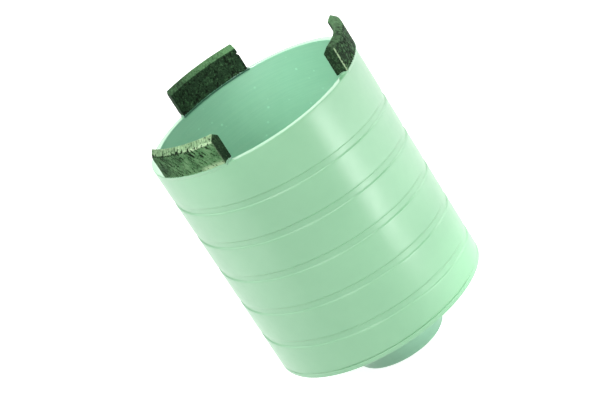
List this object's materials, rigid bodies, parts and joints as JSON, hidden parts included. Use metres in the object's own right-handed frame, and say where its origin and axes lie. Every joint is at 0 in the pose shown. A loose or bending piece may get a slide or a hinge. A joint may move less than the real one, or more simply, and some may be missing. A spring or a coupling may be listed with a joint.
{
  "type": "diamond core bit",
  "caption": "Cup-shaped dry core bit: a thin steel barrel with a spiral groove, roof-topped diamond segments on its rim and a threaded hub on its closed end.",
  "frame": {"origin": "centre of the hub's end face, on the axis of rotation, which is also the bottom of the object", "axes": "+Z along the axis of rotation from the hub towards the cutting rim; the middle of segment_1 lies towards +Y"},
  "size_m": [0.067, 0.0675, 0.0955],
  "materials": {
    "paint": "satin",
    "sinter": "matte"
  },
  "bodies": {
    "root": {"barrel": "paint", "base_plate": "paint", "hub": "paint", "segment_1": "sinter", "segment_2": "sinter", "segment_3": "sinter"}
  },
  "joints": []
}
